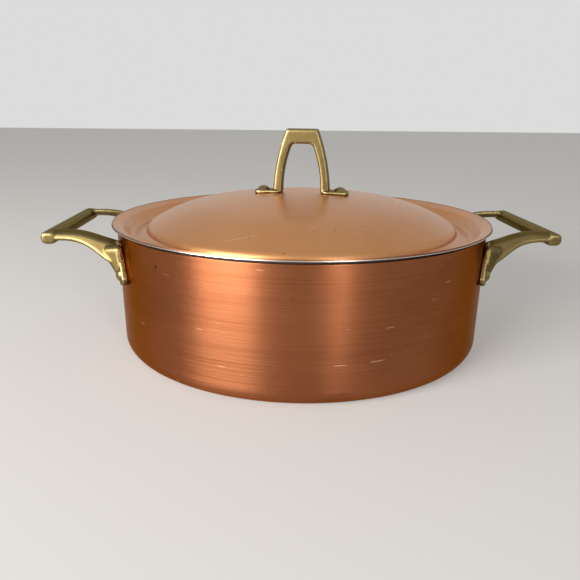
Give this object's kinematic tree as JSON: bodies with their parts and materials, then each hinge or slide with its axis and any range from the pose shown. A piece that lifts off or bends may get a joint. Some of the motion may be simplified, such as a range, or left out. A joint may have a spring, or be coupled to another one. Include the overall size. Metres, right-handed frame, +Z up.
{
  "type": "casserole pan",
  "caption": "Low round copper casserole with a stepped domed lid, riveted brass loop handles at its sides and a brass bridge handle on the lid.",
  "frame": {"origin": "centre of the flat base, at the surface that the pan stands on", "axes": "+Z up through the lid handle, +X through the right side handle, -Y towards the pictured front"},
  "size_m": [0.3094, 0.2408, 0.1355],
  "materials": {
    "brushed_copper": "copper, brushed round the wall, lightly worn",
    "lid_copper": "copper, satin, with a warm lacquer and fine scratches",
    "cast_brass": "cast brass, satin, edges polished by use",
    "brass_rivet": "brass rivet, hammered and polished",
    "stainless_lining": "stainless steel, fine brushed"
  },
  "bodies": {
    "pan": {"pan_body": "brushed_copper", "pan_lining": "stainless_lining", "right_handle": "cast_brass", "left_handle": "cast_brass", "right_handle_rivets": "brass_rivet", "left_handle_rivets": "brass_rivet"},
    "lid": {"lid_shell": "lid_copper", "lid_lining": "stainless_lining", "lid_handle": "cast_brass", "lid_handle_rivets": "brass_rivet"}
  },
  "joints": [
    {"name": "lid_lift", "type": "slide", "parent": "pan", "child": "lid", "axis": [0, 0, 1], "range_m": [0, 0.12]}
  ]
}
